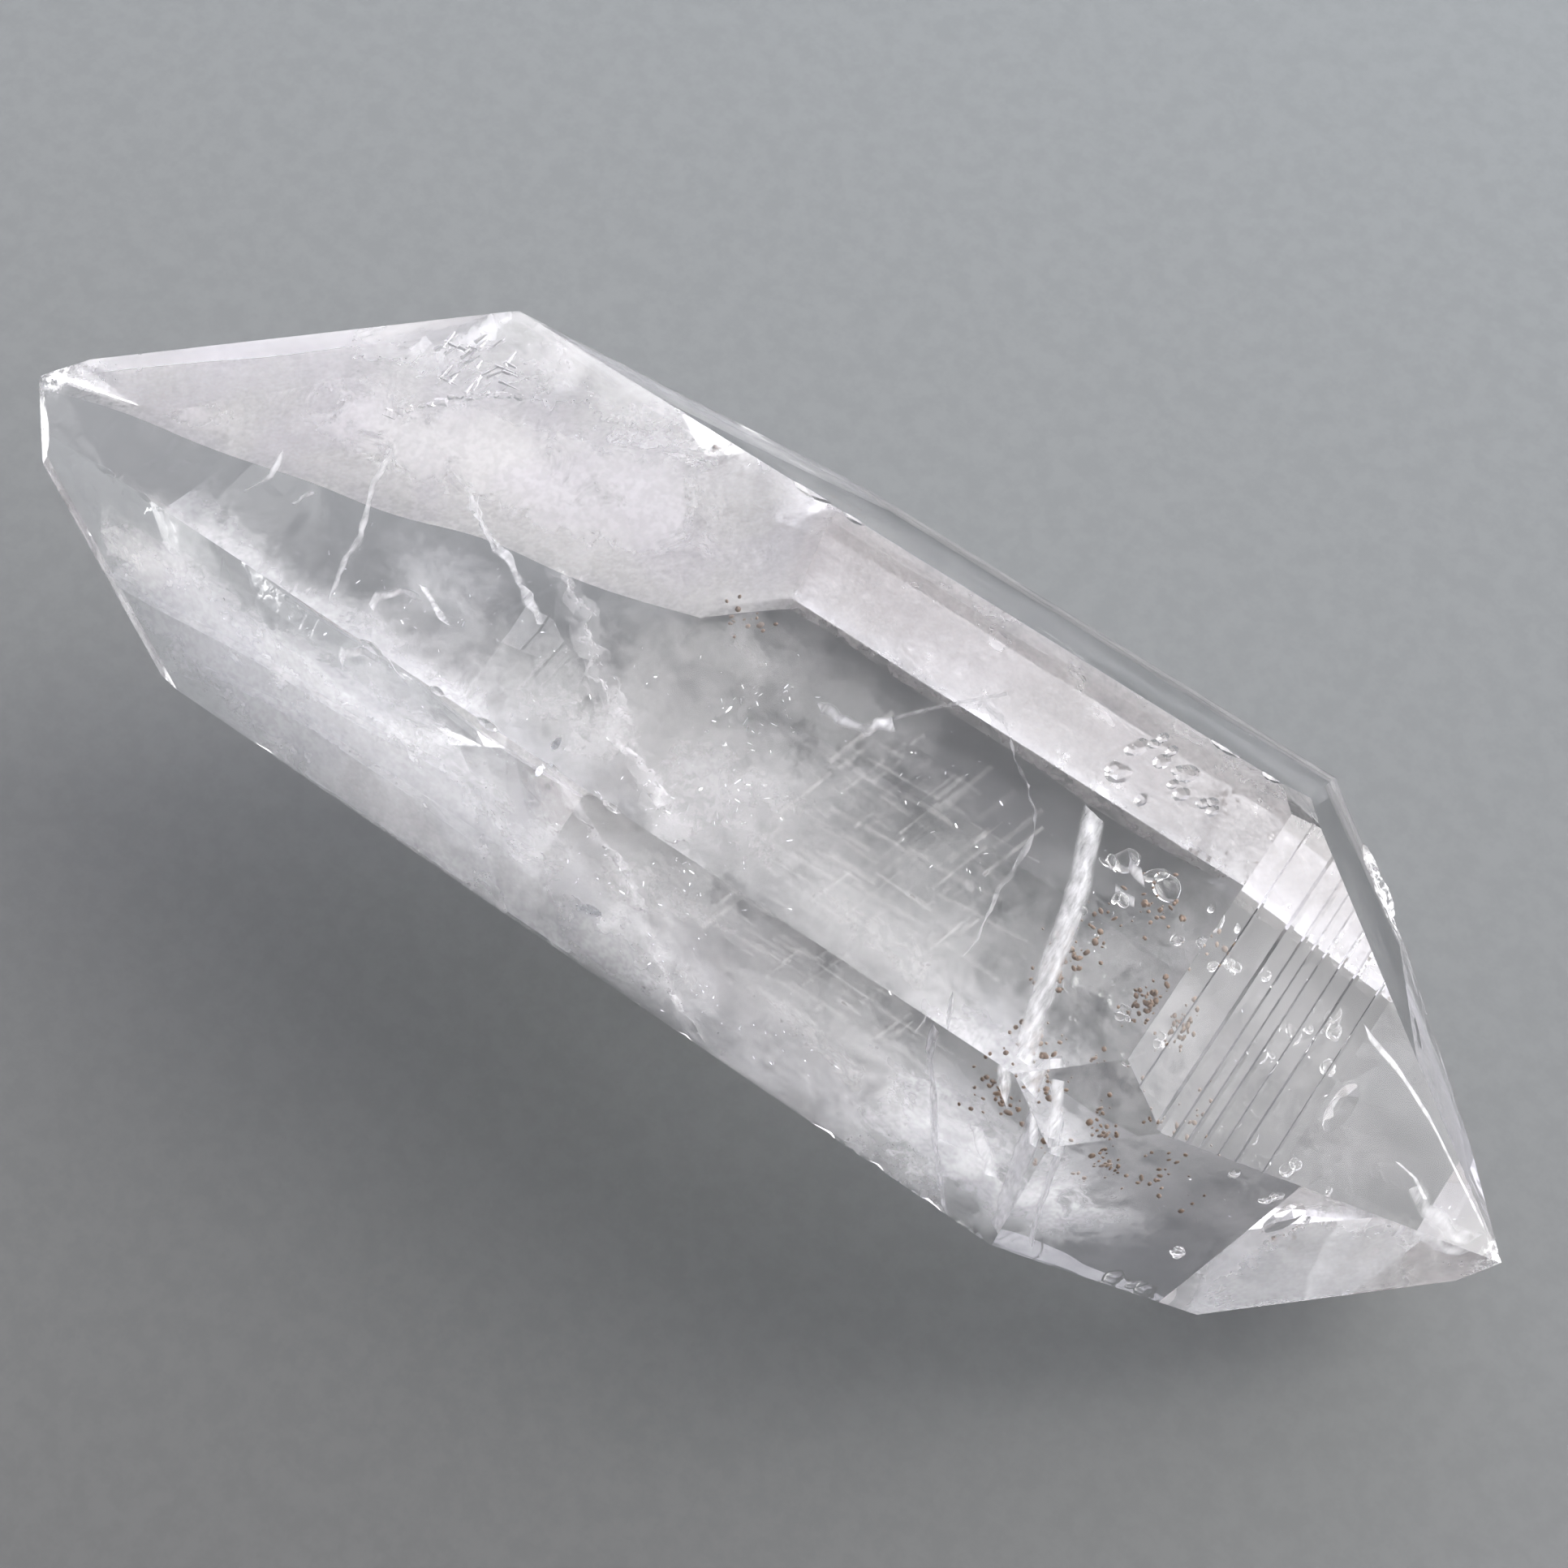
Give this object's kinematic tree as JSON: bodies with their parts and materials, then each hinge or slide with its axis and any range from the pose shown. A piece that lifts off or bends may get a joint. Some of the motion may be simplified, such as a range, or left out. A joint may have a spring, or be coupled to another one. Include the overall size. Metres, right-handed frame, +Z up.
{
  "type": "double-terminated quartz crystal",
  "caption": "Clear rock crystal with a point at both ends, a natural prism lying on one of its long faces.",
  "frame": {"origin": "middle of the crystal's box, on the plane of the face it rests on", "axes": "+X along the long crystal axis towards the end with the large striated face, +Z up from the resting face"},
  "size_m": [0.088, 0.0332, 0.0262],
  "materials": {
    "rock_crystal": "clear colourless quartz with natural growth faces, veils and fractures inside"
  },
  "bodies": {
    "root": {"quartz_crystal": "rock_crystal"}
  },
  "joints": []
}
